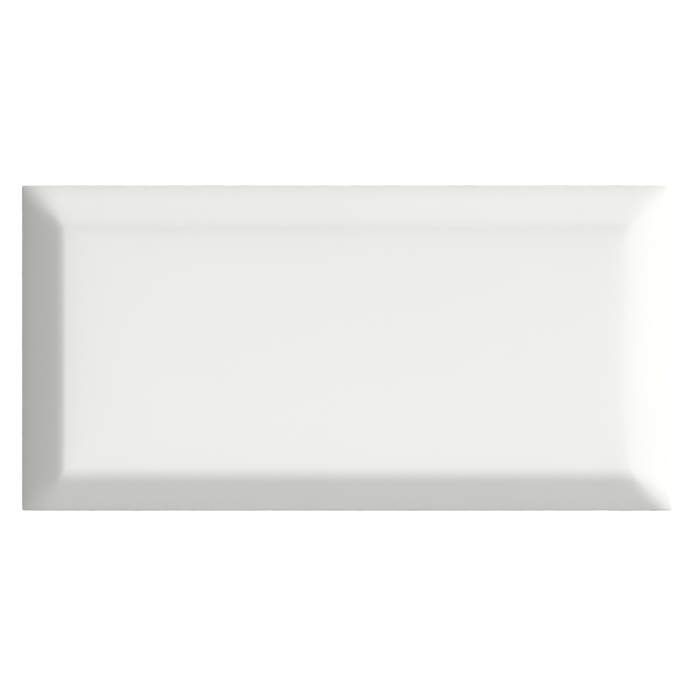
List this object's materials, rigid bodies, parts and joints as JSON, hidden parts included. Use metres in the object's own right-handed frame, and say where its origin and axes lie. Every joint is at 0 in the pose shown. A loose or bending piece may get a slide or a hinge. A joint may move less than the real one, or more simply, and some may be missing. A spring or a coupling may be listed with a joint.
{
  "type": "bevelled subway wall tile",
  "caption": "Oblong glazed ceramic wall tile: a raised flat face, sloping bevels along every side that mitre at the corners, upright edges, and a flat back for an adhesive bed.",
  "frame": {"origin": "middle of the flat back, in the plane that lies on the floor or against the wall", "axes": "+X along the long side, +Y along the short side, +Z out of the glazed face"},
  "size_m": [0.15, 0.075, 0.008],
  "materials": {
    "white_glaze": "gloss"
  },
  "bodies": {
    "root": {"subway_tile": "white_glaze"}
  },
  "joints": []
}
